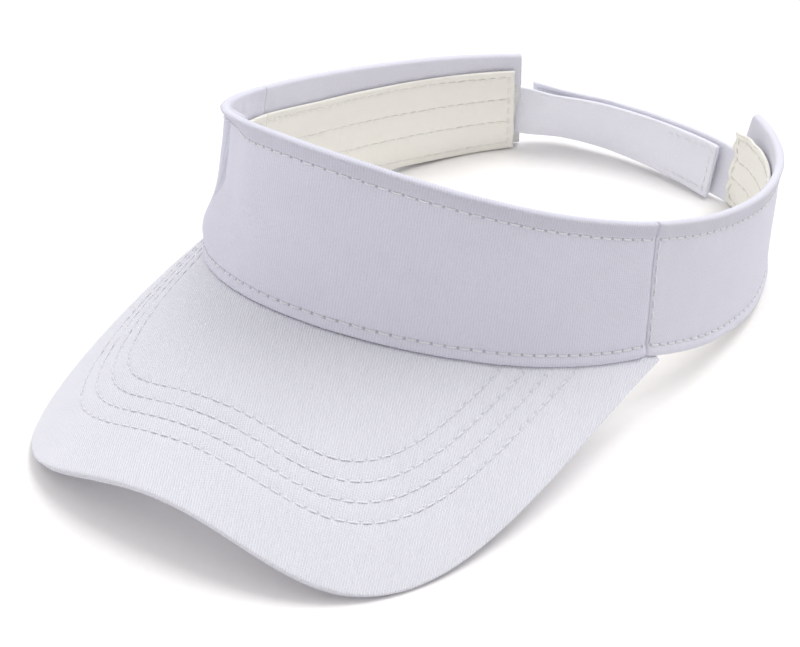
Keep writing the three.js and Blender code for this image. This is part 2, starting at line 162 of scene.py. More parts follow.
def place(points):
    return np.asarray(points, float).reshape(-1, 3) * MM @ stance.T + home


# ---------- surfaces ----------

def stack(*columns):
    return np.stack(np.broadcast_arrays(*columns), axis=-1)


def opening_plan(phi):
    x = OPENING_HALF_WIDTH * np.sin(phi) - OPENING_SQUARE_X * np.sin(2 * phi)
    y = -OPENING_HALF_LENGTH * np.cos(phi) + OPENING_SQUARE_Y * np.cos(2 * phi)
    return x, y


def outwards(phi):
    dx = OPENING_HALF_WIDTH * np.cos(phi) - 2 * OPENING_SQUARE_X * np.cos(2 * phi)
    dy = OPENING_HALF_LENGTH * np.sin(phi) - 2 * OPENING_SQUARE_Y * np.sin(2 * phi)
    size = np.hypot(dx, dy)
    return dy / size, -dx / size


def peak_height(x, y):
    out = y - PEAK_CENTRE_Y
    curl = PEAK_CURL + PEAK_CURL_CHANGE * out
    return PEAK_CENTRE_Z + PEAK_SLOPE * out - PEAK_SLOPE_CHANGE * out**2 - curl * x**2


def bottom_plan(phi):
    x, y = opening_plan(phi)
    nx, ny = outwards(phi)
    flare = FLARE + FLARE_FRONT * np.cos(phi) - FLARE_ENDS * np.cos(2 * phi)
    return x + nx * flare, y + ny * flare


def bottom_edge(phi):
    x, y = bottom_plan(phi)
    seam_height = peak_height(*bottom_plan(SEAM))
    share = np.clip((np.abs(phi) - SEAM) / (BACK_BLEND - SEAM), 0, 1)
    side = seam_height + (BACK_BOTTOM - seam_height) * share - 4 * BOTTOM_DIP * share * (1 - share)
    return stack(x, y, np.where(share > 0, side, peak_height(x, y)))


def top_edge(phi):
    beyond = np.maximum(0, np.abs(phi) - SEAM)
    pulled = np.sign(phi) * (np.abs(phi) - beyond * (1 - TOP_END_PULL))
    x, y = opening_plan(pulled)
    z = TOP_HEIGHT + TOP_RISE * np.cos(pulled) + TOP_CROWN * np.cos(2 * pulled)
    return stack(x + TOP_RAKE, y, z)


def band_height(phi):
    return np.linalg.norm(top_edge(phi) - bottom_edge(phi), axis=-1)


def smooth(value, low, high):
    t = np.clip((value - low) / (high - low), 0, 1)
    return t * t * (3 - 2 * t)


def bell(value, middle, width):
    return np.exp(-(((value - middle) / width) ** 2))


def waist(phi, share):
    """How the band is bent out of its ruled shape: a slight waist all round, and on the wearer's
    right of the front an upright crease over a bulge."""
    belly = np.sin(np.pi * np.clip(share, 0, 1)) ** WAIST_POWER
    fade_in, fade_out = FOLD_SHARES
    upper = smooth(share, *fade_in) * (1 - smooth(share, *fade_out))
    drawn = (WAIST_DEPTH + SIDE_DRAW * bell(phi, SIDE_DRAW_AT, SIDE_DRAW_WIDTH)) * belly
    lead = LEAD_DEPTH * smooth(phi, LEAD_FROM, LEAD_TO)
    step = lead + STEP_DEPTH * smooth(phi, STEP_FROM, STEP_TO)
    step = step * (1 - smooth(phi, RECOVER_FROM, RECOVER_TO)) * upper
    crease = CREASE_DEPTH * bell(phi, CREASE_AT, CREASE_WIDTH) * upper
    bulge = BULGE_DEPTH * bell(phi, BULGE_AT, BULGE_WIDTH) * bell(share, BULGE_SHARE, BULGE_SPREAD)
    return bulge - drawn - step - crease


def on_band(phi, rise, out):
    phi, rise, out = np.broadcast_arrays(phi, rise, out)
    share = rise / band_height(phi)
    nx, ny = outwards(phi)
    bottom, top = bottom_edge(phi), top_edge(phi)
    point = bottom + (top - bottom) * share[..., None]
    drawn = out + waist(phi, share)
    return point + stack(nx * drawn, ny * drawn, 0 * drawn)


def across_peak(arc, y):
    """x at a distance along the parabola z = -curl x^2, by Newton's method."""
    curl = PEAK_CURL + PEAK_CURL_CHANGE * (y - PEAK_CENTRE_Y)
    x = arc
    for _ in range(NEWTON_STEPS):
        slope = 2 * curl * x
        length = x / 2 * np.hypot(1, slope) + np.arcsinh(slope) / (4 * curl)
        x = x - (length - arc) / np.hypot(1, slope)
    return x


def outline(turn, half_arc, reach, power):
    reciprocal = (np.abs(np.sin(turn)) / half_arc) ** power + (np.cos(turn) / reach) ** power
    radius = reciprocal ** (-1 / power)
    y = PEAK_BACK - radius * np.cos(turn)
    return across_peak(radius * np.sin(turn), y), y


def on_peak(x, y, above):
    step = SLOPE_REACH
    slope_x = (peak_height(x + step, y) - peak_height(x - step, y)) / (2 * step)
    slope_y = (peak_height(x, y + step) - peak_height(x, y - step)) / (2 * step)
    size = np.sqrt(slope_x**2 + slope_y**2 + 1)
    lift = above / size
    return stack(x - slope_x * lift, y - slope_y * lift, peak_height(x, y) + lift)


def on_strap(strap, share, rise, radius):
    root = strap["root"] + strap["lean"] * rise / STRAP_WIDTH
    angle = root + (strap["tip"] - root) * share
    eased = np.clip(1 - np.abs(angle - root) / STRAP_EASE, 0, 1)
    between = (angle - RIGHT_STRAP["root"]) / (LEFT_STRAP["root"] - RIGHT_STRAP["root"])
    lean = RIGHT_LEAN + (LEFT_LEAN - RIGHT_LEAN) * between
    upright = smooth(between, 0.0, 0.2) * (1 - 0.5 * smooth(between, 0.9, 1.1))
    shifted = strap["shift"] * eased**2 * (3 - 2 * eased)
    r = radius + shifted + lean * upright * (rise / STRAP_WIDTH - 0.5)
    base = strap["root_rise"] + (strap["tip_rise"] - strap["root_rise"]) * share
    return stack(r * np.sin(angle), STRAP_AXIS_Y + r * np.cos(angle), base + rise)


# ---------- relief of the cloth ----------

def ripple(u, v, seed, size):
    """A smooth, repeatable unevenness: a few crossed waves of about the given size."""
    total = 0
    for i in range(1, 6):
        angle = seed * 1.7 + i * 2.4
        wave = 2 * np.pi / size * (0.6 + 0.23 * i)
        total = total + np.sin(wave * (u * math.cos(angle) + v * math.sin(angle)) + seed + 1.3 * i)
    return total / 5


def hollow(distance, width):
    return np.exp(-((distance / width) ** 2))


def band_length(phi):
    """Length along the band's middle from the forehead, the same at every height."""
    grid = np.linspace(RIGHT_END - 0.1, LEFT_END + 0.1, 1200)
    mid = (bottom_edge(grid) + top_edge(grid)) / 2
    length = lengths_along(mid)
    return np.interp(phi, grid, length - np.interp(0, grid, length))


def phi_at(length):
    grid = np.linspace(RIGHT_END - 0.1, LEFT_END + 0.1, 1200)
    return np.interp(length, band_length(grid), grid)


def band_row_distance(phi, rise):
    """Signed distance to the nearer of the top and bottom stitch rows."""
    low = rise - BOTTOM_STITCH_RISE
    high = rise - (band_height(phi) - TOP_STITCH_DEPTH)
    return np.where(np.abs(low) < np.abs(high), low, high)


def band_relief(phi, rise):
    """The cloth's unevenness: drawn in at the rows, rolled at the edges, a little puckered."""
    u = band_length(phi)
    height = band_height(phi)
    distance = band_row_distance(phi, rise)
    pull = 0.75 + 0.25 * np.cos(2 * np.pi * u / STITCH_PITCH)
    relief = -ROW_DRAW * hollow(distance, ROW_DRAW_WIDTH) * pull
    relief = relief + FOOT_ROLL * hollow(rise - BOTTOM_STITCH_RISE / 2, FOOT_ROLL_WIDTH)
    relief = relief + HEM_FLARE * np.clip((rise - height + TOP_STITCH_DEPTH) / TOP_STITCH_DEPTH, 0, 1)
    near_row = hollow(distance, 5)
    relief = relief + 0.1 * near_row * ripple(u, rise * 0.3, 2, 9)
    relief = relief + 0.16 * ripple(u, rise, 5, 42) + 0.08 * ripple(u, rise, 9, 17)
    seam_gap = np.abs(np.abs(phi) - SEAM) * OPENING_HALF_LENGTH
    seam = -SEAM_DRAW * hollow(seam_gap, SEAM_DRAW_WIDTH) + 0.12 * hollow(seam_gap - 3.2, 1.8)
    return relief + seam


# ---------- meshes ----------

def make_object(name, points, faces, material, uv=None, stitch=None):
    points = np.asarray(points, float).reshape(-1, 3)
    faces = np.asarray(faces)
    a, b, c = (points[faces[:, i]] for i in range(3))
    d = points[faces[:, -1]]
    volume = (a * np.cross(b, c)).sum() + (a * np.cross(c, d)).sum()
    if volume < 0:
        faces = faces[:, ::-1]
        uv = None if uv is None else uv[:, ::-1]
        stitch = None if stitch is None else stitch[:, ::-1]
    mesh = bpy.data.meshes.new(name)
    mesh.from_pydata(place(points).tolist(), [], faces.tolist())
    for label, values in (("Weave", uv), ("Stitch", stitch)):
        if values is not None:
            layer = mesh.uv_layers.new(name=label)
            layer.data.foreach_set("uv", np.asarray(values, np.float32).reshape(-1))
    mesh.polygons.foreach_set("use_smooth", [True] * len(mesh.polygons))
    mesh.materials.append(material)
    obj = bpy.data.objects.new(name, mesh)
    bpy.context.scene.collection.objects.link(obj)
    return obj


def sweep(name, rings, material, u, v, stitch=None):
    """A closed body from rings of points; u runs along the rings' row, v round each ring.

    rings is (stations, points, 3). Ring points k and -1-k face each other, which closes the ends.
    """
    n, m = rings.shape[:2]
    index = np.arange(n * m).reshape(n, m)
    around = np.concatenate([np.arange(m), [0]])
    u = np.broadcast_to(np.asarray(u, float).reshape(n, -1), (n, m + 1))
    v = np.broadcast_to(np.asarray(v, float).reshape(1, -1) if np.ndim(v) == 1 else v, (n, m + 1))
    corner = index[:, around]
    i, k = np.meshgrid(np.arange(n - 1), np.arange(m), indexing="ij")
    loops = [(i, k), (i + 1, k), (i + 1, k + 1), (i, k + 1)]
    faces = np.stack([corner[p, q] for p, q in loops], -1).reshape(-1, 4)
    coords = stack(u, v)
    uv = np.stack([coords[p, q] for p, q in loops], -2).reshape(-1, 4, 2)
    near = None
    if stitch is not None:
        run, gap = (np.broadcast_to(values, (n, m)) for values in stitch)
        rows = stack(run, gap)[:, around]
        near = np.stack([rows[p, q] for p, q in loops], -2).reshape(-1, 4, 2)
    caps, cap_uv, cap_near = [], [], []
    for row, order in ((0, (0, 1, 2, 3)), (n - 1, (3, 2, 1, 0))):
        for k in range(m // 2 - 1):
            ends = [(k, k), (k + 1, k + 1), (m - 2 - k, k + 1), (m - 1 - k, k)]
            ends = [ends[o] for o in order]
            caps.append([index[row, p] for p, _ in ends])
            cap_uv.append([coords[row, q] for _, q in ends])
            cap_near.append([(0, CLEAR)] * 4)
    faces = np.concatenate([faces, caps])
    uv = np.concatenate([uv, cap_uv])
    near = None if near is None else np.concatenate([near, cap_near])
    return make_object(name, rings, faces, material, uv, near)


def ring_lengths(rings):
    """Distance round the middle ring of a sweep, with the closing value at the end."""
    middle = rings[len(rings) // 2]
    return lengths_along(np.concatenate([middle, middle[:1]]))


def sheet_profile(path, thickness):
    """Turns a path across a sheet, (stations, points, 2), into a closed ring with round edges."""
    path = np.asarray(path, float)
    along = np.gradient(path, axis=1)
    along /= np.linalg.norm(along, axis=-1, keepdims=True)
    normal = np.stack([-along[..., 1], along[..., 0]], -1)
    half = thickness / 2
    front, back = path + normal * half, path - normal * half

    def edge(at, sign):
        corners = []
        for turn in (math.pi / 4, 3 * math.pi / 4):
            outward = normal[:, at] * math.cos(turn) + sign * along[:, at] * math.sin(turn)
            corners.append(path[:, at] + half * outward)
        return np.stack(corners, 1)

    start, end = edge(0, -1), edge(-1, 1)
    # ring: front skin, far edge, back skin reversed, near edge; the two edges are split evenly so
    # that opposite points pair up
    return np.concatenate([start[:, :1], front, end, back[:, ::-1], start[:, 1:]], axis=1)


def tube_pieces(name, centres, normals, tangents, material, pitch):
    """A row of separate stitches laid on a surface along given middles."""
    sections, sides = 9, 7
    share = np.linspace(-1, 1, sections)
    turn = np.linspace(0, 2 * np.pi, sides, endpoint=False)
    points, faces, uv = [], [], []
    for centre, normal, tangent in zip(centres, normals, tangents):
        side = np.cross(normal, tangent)
        length = pitch * (STITCH_HALF_SHARE + 0.02 * rng.standard_normal())
        sway = 0.07 * rng.standard_normal()
        size = THREAD_RADIUS * (1 + 0.06 * rng.standard_normal())
        base = len(points) * sections * sides
        thick = size * np.sqrt(np.clip(1 - np.abs(share) ** 5, 0.03, 1))
        rise = THREAD_RADIUS * (0.75 - 1.8 * np.abs(share) ** 3)
        spine = centre + np.outer(share * length, tangent) + np.outer(rise, normal)
        spine = spine + np.outer(sway * share, side)
        ring = np.cos(turn)[:, None] * side + THREAD_FLATNESS * np.sin(turn)[:, None] * normal
        points.append((spine[:, None] + thick[:, None, None] * ring[None]).reshape(-1, 3))
        for i in range(sections - 1):
            for k in range(sides):
                after = (k + 1) % sides
                faces.append([base + i * sides + k, base + i * sides + after,
                              base + (i + 1) * sides + after, base + (i + 1) * sides + k])
                low, high = share[i] * length, share[i + 1] * length
                uv.append([(low, k), (low, k + 1), (high, k + 1), (high, k)])
        for end in (0, sections - 1):
            first = base + end * sides
            for k in range(1, sides - 2, 2):
                quad = [first, first + k, first + k + 1, first + k + 2]
                faces.append(quad if end else quad[::-1])
                uv.append([(share[end] * length, j) for j in range(4)])
    return make_object(name, np.concatenate(points), faces, material, np.array(uv, float))


def stitch_line(name, path, normals, material, pitch=STITCH_PITCH, marks=None):
    """Stitches along a dense path of surface points; marks are positions along it, if given."""
    length = lengths_along(path)
    if marks is None:
        count = max(1, int(length[-1] / pitch))
        marks = (np.arange(count) + 0.5) * length[-1] / count

    def at(values, where):
        return np.stack([np.interp(where, length, values[:, i]) for i in range(3)], -1)

    centre = at(path, marks)
    tangent = at(path, marks + 0.4) - at(path, marks - 0.4)
    tangent /= np.linalg.norm(tangent, axis=1, keepdims=True)
    normal = at(normals, marks)
    normal -= (normal * tangent).sum(1, keepdims=True) * tangent
    normal /= np.linalg.norm(normal, axis=1, keepdims=True)
    return tube_pieces(name, centre, normal, tangent, material, pitch)


# ---------- materials ----------

class Nodes:
    """A thin wrapper that builds a material's node tree from nested calls."""

    def __init__(self, name):
        self.material = bpy.data.materials.new(name)
        self.material.use_nodes = True
        self.tree = self.material.node_tree
        self.surface = self.tree.nodes["Principled BSDF"]

    def add(self, kind, settings=None, **inputs):
        node = self.tree.nodes.new(kind)
        for key, value in (settings or {}).items():
            setattr(node, key, value)
        for key, value in inputs.items():
            self.feed(node.inputs[key.replace("_", " ")], value)
        return node

    def feed(self, socket, value):
        if isinstance(value, bpy.types.NodeSocket):
            self.tree.links.new(value, socket)
        else:
            socket.default_value = value

    def math(self, operation, *values):
        node = self.tree.nodes.new("ShaderNodeMath")
        node.operation = operation
        for socket, value in zip(node.inputs, values):
            self.feed(socket, value)
        return node.outputs[0]

    def wave(self, position, period):
        return self.math("SINE", self.math("MULTIPLY", position, 2 * math.pi / period))

    def uv(self, layer):
        layer_at = self.add("ShaderNodeUVMap", {"uv_map": layer}).outputs[0]
        split = self.add("ShaderNodeSeparateXYZ", Vector=layer_at)
        return split.outputs[0], split.outputs[1]

    def flat(self, u, v):
        return self.add("ShaderNodeCombineXYZ", X=u, Y=v).outputs[0]

    def total(self, *terms):
        """The sum of (value, weight) terms."""
        result = None
        for value, weight in terms:
            part = self.math("MULTIPLY", value, weight)
            result = part if result is None else self.math("ADD", result, part)
        return result

    def noise(self, vector, scale, detail=2.0):
        node = self.add("ShaderNodeTexNoise", Vector=vector, Scale=scale, Detail=detail)
        return node.outputs[0]

    def mix(self, factor, first, second):
        node = self.add("ShaderNodeMix", {"data_type": "RGBA"})
        self.feed(node.inputs[0], factor)
        self.feed(node.inputs[6], first)
        self.feed(node.inputs[7], second)
        return node.outputs[2]

    def spread(self, value, low, high, to_low=0.0, to_high=1.0):
        node = self.add("ShaderNodeMapRange")
        for socket, number in zip(node.inputs, (value, low, high, to_low, to_high)):
            self.feed(socket, number)
        return node.outputs[0]

    def bump(self, height, distance):
        node = self.add("ShaderNodeBump", Height=height, Distance=distance, Strength=1.0)
        return node.outputs[0]


def rgba(colour, gain=1.0):
    return (*[min(1.0, channel * gain) for channel in colour], 1.0)


HOLE_CORE, HOLE_EDGE = 0.25, 0.6  # radii between which a needle hole fades out, mm
HEM_SHADE_LOW, HEM_SHADE_HIGH = (0.3, 0.9), (4.3, 5.6)  # mm above the row where the hem's painted shade fades in, and out
HEM_SHADE_END = 88.0  # way round a panel's section, up inside and over the top, to below the hem; the painted shade stops there


def needle_holes(nodes, run, gap):
    """1 in a needle hole, halfway between two stitches of a row, and 0 elsewhere; it places the painted
    shade and the dent of each hole.
    """
    nearest = nodes.math("PINGPONG", run, STITCH_PITCH / 2)
    along = nodes.spread(nearest, HOLE_CORE, HOLE_EDGE, 1.0, 0.0)
    across = nodes.spread(nodes.math("ABSOLUTE", gap), HOLE_CORE, HOLE_EDGE, 1.0, 0.0)
    return nodes.math("MULTIPLY", along, across)


def hem_shade_mask(nodes, v, gap):
    """1 on the outside of the hem, above the top stitch row, where shade is painted, and 0 elsewhere."""
    low, high = nodes.spread(gap, *HEM_SHADE_LOW), nodes.spread(gap, *HEM_SHADE_HIGH, 1.0, 0.0)
    above_row = nodes.math("MULTIPLY", low, high)
    outside = nodes.spread(v, HEM_SHADE_END - 1, HEM_SHADE_END, 1.0, 0.0)
    return nodes.math("MULTIPLY", above_row, outside)


def cloth_material(
    name, colour, degrees, period, relief, contrast, rib=0.5, hole_shade=0.6, mottle=0.99, hem=0.0
):
    """Woven cloth: diagonal wales crossed by finer yarns, slubs, and needle holes along rows.

    degrees and period (mm) set the wales, relief (m) their height, contrast their light and shade;
    mottle is slow blotches, pits paints shade into the needle holes and hem paints shade on the cloth above
    the top row.
    """
    nodes = Nodes(name)
    u, v = nodes.uv("Weave")
    flat = nodes.flat(u, v)
    cosine, sine = math.cos(math.radians(degrees)), math.sin(math.radians(degrees))
    wander = nodes.math("MULTIPLY", nodes.noise(flat, 0.35, 3.0), period * 0.6)
    lean = nodes.total((u, cosine), (v, sine))
    wale = nodes.wave(nodes.math("ADD", lean, wander), period)
    along = nodes.total((v, cosine), (u, -sine))
    yarn = nodes.wave(nodes.math("ADD", along, wander), period * 0.8)
    fibre = nodes.noise(flat, 1.5, 4.0)
    slub = nodes.noise(nodes.flat(u, nodes.math("MULTIPLY", v, 0.12)), 1.6, 2.0)
    weave = nodes.total((wale, rib), (yarn, 0.25), (fibre, 2.2), (slub, 0.5))
    blotch = nodes.noise(flat, 0.045, 3.0)
    shade = nodes.math("ADD", weave, nodes.math("MULTIPLY", blotch, mottle))
    dark, light = rgba(colour, 1 - contrast), rgba(colour, 1 + contrast)
    tone = nodes.mix(nodes.spread(shade, -0.2, 3.8), dark, light)
    height = weave
    if hole_shade > 0:
        run, gap = nodes.uv("Stitch")
        hole = needle_holes(nodes, run, gap)
        # painted shade: each needle hole is darkened towards about a third of the cloth's colour, standing
        # in for the shade inside it
        tone = nodes.mix(nodes.math("MULTIPLY", hole, hole_shade), tone, rgba(colour, 0.35))
        height = nodes.math("SUBTRACT", weave, nodes.math("MULTIPLY", hole, 2.0))
        if hem > 0:
            # painted shade: the hem above the top stitch row is darkened towards 0.4 of the cloth's colour,
            # standing in for the shade under the fold
            hem_shade = hem_shade_mask(nodes, v, gap)
            tone = nodes.mix(nodes.math("MULTIPLY", hem_shade, hem), tone, rgba(colour, 0.4))
    nodes.feed(nodes.surface.inputs["Base Color"], tone)
    nodes.feed(nodes.surface.inputs["Roughness"], nodes.spread(weave, -0.5, 1.5, 0.97, 0.82))
    nodes.feed(nodes.surface.inputs["Normal"], nodes.bump(height, relief))
    nodes.surface.inputs["Sheen Weight"].default_value = 0.12
    nodes.surface.inputs["Sheen Roughness"].default_value = 0.5
    nodes.surface.inputs["Specular IOR Level"].default_value = 0.18
    return nodes.material


def thread_material(name, colour):
    """Two-ply sewing thread: a fine slanting twist along each stitch."""
    nodes = Nodes(name)
    run, around = nodes.uv("Weave")
    twist = nodes.wave(nodes.math("ADD", run, nodes.math("MULTIPLY", around, 0.12)), 0.42)
    tone = nodes.mix(nodes.spread(twist, -1.0, 1.0), rgba(colour, 0.82), rgba(colour, 1.04))
    nodes.feed(nodes.surface.inputs["Base Color"], tone)
    nodes.feed(nodes.surface.inputs["Normal"], nodes.bump(twist, 0.00003))
    nodes.surface.inputs["Roughness"].default_value = 0.6
    nodes.surface.inputs["Sheen Weight"].default_value = 0.2
    return nodes.material


def felt_material(name, colour, scale, relief):
    """Brushed tape, felt or board: a matt surface of short random fibres."""
    nodes = Nodes(name)
    place_at = nodes.add("ShaderNodeTexCoord").outputs["Object"]
    fibres = nodes.noise(place_at, scale, 5.0)
    blotch = nodes.noise(place_at, scale / 14, 3.0)
    mixed = nodes.total((fibres, 0.7), (blotch, 0.3))
    tone = nodes.mix(nodes.spread(mixed, 0.3, 0.7), rgba(colour, 0.84), rgba(colour, 1.04))
    nodes.feed(nodes.surface.inputs["Base Color"], tone)
    nodes.feed(nodes.surface.inputs["Roughness"], nodes.spread(fibres, 0.3, 0.7, 0.98, 0.85))
    nodes.feed(nodes.surface.inputs["Normal"], nodes.bump(fibres, relief))
    nodes.surface.inputs["Sheen Weight"].default_value = 0.15
    return nodes.material


# the whites are one cloth, tuned under this scene's lights: the front and side copies are darker and bluer
# as painted shade, the strap's a touch lighter as painted light; cream is the sweatband's own
WHITE = (0.84, 0.84, 0.925)
FRONT_SHADED_WHITE = (0.75, 0.745, 0.85)
SIDE_SHADED_WHITE = (0.765, 0.76, 0.85)
STRAP_LIT_WHITE = (0.85, 0.85, 0.93)
CREAM_WHITE = (0.94, 0.92, 0.86)
peak_cloth = cloth_material("peak_twill", WHITE, 24.5, 0.75, 0.00006, 0.11, rib=1.1, hole_shade=0.2)
front_cloth = cloth_material(
    "front_twill", FRONT_SHADED_WHITE, 3, 0.8, 0.00005, 0.15, rib=0.6, hole_shade=0.55, hem=0.24
)
side_cloth = cloth_material("side_twill", SIDE_SHADED_WHITE, -35, 0.66, 0.00004, 0.13, hole_shade=0.55, hem=0.2)
under_cloth = cloth_material("under_twill", WHITE, 18, 0.66, 0.00004, 0.12, hole_shade=0)
strap_cloth = cloth_material("strap_twill", STRAP_LIT_WHITE, 25, 0.66, 0.00004, 0.07)
lining_cloth = cloth_material(
    "sweatband_cloth", CREAM_WHITE, 45, 0.5, 0.00003, 0.06, hole_shade=0.06, mottle=0.66
)
white_thread = thread_material("white_thread", (0.93, 0.93, 1.0))
cream_thread = thread_material("cream_thread", (1.0, 0.98, 0.92))
felt = felt_material("interlining_felt", (0.82, 0.82, 0.82), 900.0, 0.0001)
board = felt_material("board", (0.85, 0.85, 0.84), 300.0, 0.00002)
loop_felt = felt_material("loop_fibres", (0.8, 0.8, 0.86), 1600.0, 0.0004)
hook_felt = felt_material("hook_fibres", (0.74, 0.74, 0.8), 2200.0, 0.0005)

# ---------- placing pieces: the front's on its body, the rest baked in place ---

FLEX_START, FLEX_END = -26.0, -6.0  # y at the ends of the stretch from the front to a side; attach() works places out there and doesn't use them


def in_frame(x, y, z):
    return Vector(place([(x, y, z)])[0])


def side_body(side):
    return "front" if side == "front" else side + "_side"


def attach(obj, body, slot, *nodes):
    """Parents the piece to the front's body, or for a side bakes its transform into the mesh; then hides
    the CAD nodes it stands for.
    """
    if body == "front":
        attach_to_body(obj, body)
    else:
        x = HINGE[0] if body == "left_side" else -HINGE[0]
        in_frame(x, FLEX_START, 20)
        in_frame(x, FLEX_END, 20)
        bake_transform(obj)
    if nodes:
        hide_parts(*nodes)
    return obj


def attach_strap(obj, side, slot, *nodes):
    """Bakes a strap piece's transform into its mesh and hides the CAD nodes it stands for."""
    strap = LEFT_STRAP if side == "left" else RIGHT_STRAP
    toward = math.copysign(1, strap["tip"] - strap["root"])
    for past_root in (-0.02, 0.08):
        bent = {**strap, "root": strap["root"] + past_root * toward}
        in_frame(*on_strap(bent, 0.0, STRAP_WIDTH / 2, MEETING_RADIUS))
    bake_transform(obj)
    if nodes:
        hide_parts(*nodes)
    return obj


# ---------- the band ----------

def stations(start, end, spacing):
    count = max(4, int(abs(band_length(np.array(end)) - band_length(np.array(start))) / spacing))
    return np.linspace(start, end, count + 1)


def panel(side, start, end, material):
    """The panel's cloth: up the outside, over the top in a round fold, down inside as a hem."""
    phi = stations(start, end, 0.85)[:, None]
    height = band_height(phi)
    inner = FOLD_RADIUS - CLOTH / 2
    fold_rise = height - FOLD_RADIUS
    climb = np.linspace(0, 1, 66)[None]
    rise = BAND_LIFT + (fold_rise - BAND_LIFT) * climb
    face = stack(-CLOTH / 2 + band_relief(phi, rise), rise)
    turn = np.linspace(0, np.pi, 9)[None, 1:-1]
    edge = band_relief(phi, fold_rise)
    wavy = edge + 0.12 * ripple(band_length(phi), 0, 4, 30)
    over = -FOLD_RADIUS + inner * np.cos(turn) + wavy * (1 + np.cos(turn)) / 2
    fold = stack(over, fold_rise + inner * np.sin(turn))
    drop = np.linspace(0, HEM_DEPTH, 12)[None]
    crumpled = 0.1 + 0.45 * bell(phi, -1.25, 0.16)
    pucker = crumpled * ripple(band_length(phi), drop * 0.6, 3, 11) * np.minimum(1, drop / 3)
    hem = stack(-FOLD_RADIUS - inner + pucker, fold_rise - drop)
    path = np.concatenate([face, fold, hem], axis=1)
    profile = sheet_profile(path, CLOTH)
    rings = on_band(phi, profile[..., 1], profile[..., 0])
    outer = profile[..., 0] > -CLOTH * 1.2
    gap = np.where(outer, band_row_distance(phi, profile[..., 1]), CLEAR)
    u = band_length(phi)
    obj = sweep(side + "_panel_cloth", rings, material, u, ring_lengths(rings), stitch=(u, gap))
    return attach(obj, side_body(side), "band_cloth", side + "_panel")


def band_row(name, side, start, end, rise_of, face, material, node, facing=1, relief=None):
    """Stitches round a panel, in step with the needle holes in the cloth."""
    low, high = sorted(float(band_length(np.array(phi))) for phi in (start, end))
    first, last = math.ceil(low / STITCH_PITCH), math.floor(high / STITCH_PITCH)
    middles = (np.arange(first, last) + 0.5) * STITCH_PITCH
    dense = np.linspace(low, high, 900)
    phi = phi_at(dense)
    rise = rise_of(phi)
    out = face + (relief(phi, rise) if relief else 0)
    path = on_band(phi, rise, out)
    nx, ny = outwards(phi)
    normals = stack(nx * facing, ny * facing, 0 * nx)
    marks = np.interp(middles, dense, lengths_along(path))
    obj = stitch_line(name, path, normals, material, STITCH_PITCH, marks)
    return attach(obj, side_body(side), "thread", *node)


def interlining(side, start, end):
    phi = stations(start, end, 3)[:, None]
    climb = np.linspace(0, 1, 14)[None]
    rise = BAND_LIFT + 0.6 + (band_height(phi) - 2.4 * FOLD_RADIUS - BAND_LIFT) * climb
    path = stack((INTERLINING_OUT + INTERLINING_IN) / 2 + 0 * rise, rise)
    profile = sheet_profile(path, INTERLINING_OUT - INTERLINING_IN - 0.1)
    rings = on_band(phi, profile[..., 1], profile[..., 0])
    obj = sweep(side + "_interlining_sheet", rings, felt, band_length(phi), ring_lengths(rings))
    return attach(obj, side_body(side), "interlining", side + "_interlining")


def sweatband_top(phi):
    growth = SWEATBAND_GROWTH * np.maximum(0, np.abs(phi) - SWEATBAND_BACK)
    return (SWEATBAND_SHARE + growth) * band_height(phi)


def sweatband_row_rise(phi, row):
    lowest = BAND_LIFT + SWEATBAND_ROW_MARGIN
    return lowest + row / (SWEATBAND_ROWS - 1) * (sweatband_top(phi) - SWEATBAND_ROW_MARGIN - lowest)


def sweatband_row_distance(phi, rise):
    gaps = np.stack([rise - sweatband_row_rise(phi, row) for row in range(SWEATBAND_ROWS)])
    nearest = np.abs(gaps).argmin(0)
    return np.take_along_axis(gaps, nearest[None], 0)[0]


def sweatband_lift(phi, rise):
    """How far the free ends of the sweatband stand off the panels."""
    share = np.clip(rise / sweatband_top(phi), 0, 1)
    left = np.clip((phi - LEFT_END + 0.42) / 0.42, 0, 1) ** 2
    right = np.clip((RIGHT_END + 0.2 - phi) / 0.2, 0, 1) ** 2
    crumpled = 1.1 * left * ripple(band_length(phi), rise, 3, 10)
    return crumpled - 4.6 * left * (0.25 + 0.75 * share) - 0.6 * right


def sweatband_relief(phi, rise):
    """Padding puffs between the rows; the rows are drawn in."""
    u = band_length(phi)
    gap = np.abs(sweatband_row_distance(phi, rise))
    puff = -0.4 * (1 - hollow(gap, 2.2))
    pucker = -0.16 * hollow(gap, 3.0) * ripple(u, rise * 0.4, 6, 8)
    return puff + pucker - 0.25 * ripple(u, rise, 8, 34) + sweatband_lift(phi, rise)


